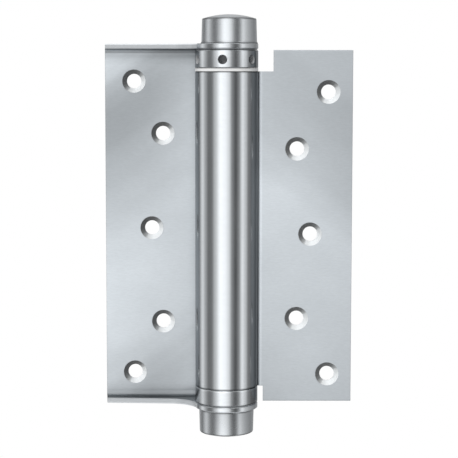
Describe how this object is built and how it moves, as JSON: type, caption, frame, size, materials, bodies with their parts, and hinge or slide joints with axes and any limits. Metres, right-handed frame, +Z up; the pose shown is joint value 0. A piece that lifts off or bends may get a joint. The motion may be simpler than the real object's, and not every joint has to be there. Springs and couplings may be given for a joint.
{
  "type": "spring hinge",
  "caption": "Single-action spring hinge lying open flat: folded frame leaf with lugs, door leaf rolled into a long barrel, tension collar and domed end caps.",
  "frame": {"origin": "on the pintle's axis, at half the frame leaf's height", "axes": "+Z up along the pintle's axis, +X from the axis to the door leaf, +Y to the back, so that -Y is the front with the countersinks"},
  "size_m": [0.119, 0.0327, 0.2026],
  "materials": {
    "leaf_steel": "pale satin plated sheet steel",
    "pintle_steel": "drawn bright steel",
    "cap_steel": "pale satin turned steel",
    "collar_steel": "pale satin turned steel",
    "washer_steel": "dull steel",
    "spring_steel": "dark oiled spring steel",
    "bush_nylon": "white nylon"
  },
  "bodies": {
    "frame": {"frame_leaf": "leaf_steel", "pintle": "pintle_steel", "top_cap": "cap_steel", "bottom_cap": "cap_steel", "upper_washer": "washer_steel", "lower_washer": "washer_steel"},
    "door": {"door_leaf": "leaf_steel", "barrel_bush": "bush_nylon", "anchor_collar": "collar_steel", "torsion_spring": "spring_steel"},
    "tensioner": {"tension_collar": "collar_steel"}
  },
  "joints": [
    {"name": "leaf_swing", "type": "hinge", "parent": "frame", "child": "door", "pos_m": [0, 0, 0], "axis": [0, 0, -1], "range_deg": [0, 180]},
    {"name": "collar_winding", "type": "hinge", "parent": "door", "child": "tensioner", "pos_m": [0, 0, 0.0799], "axis": [0, 0, -1], "range_deg": [0, 180], "stiffness_Nm_per_rad": 1.5, "deforming": ["torsion_spring"]}
  ]
}
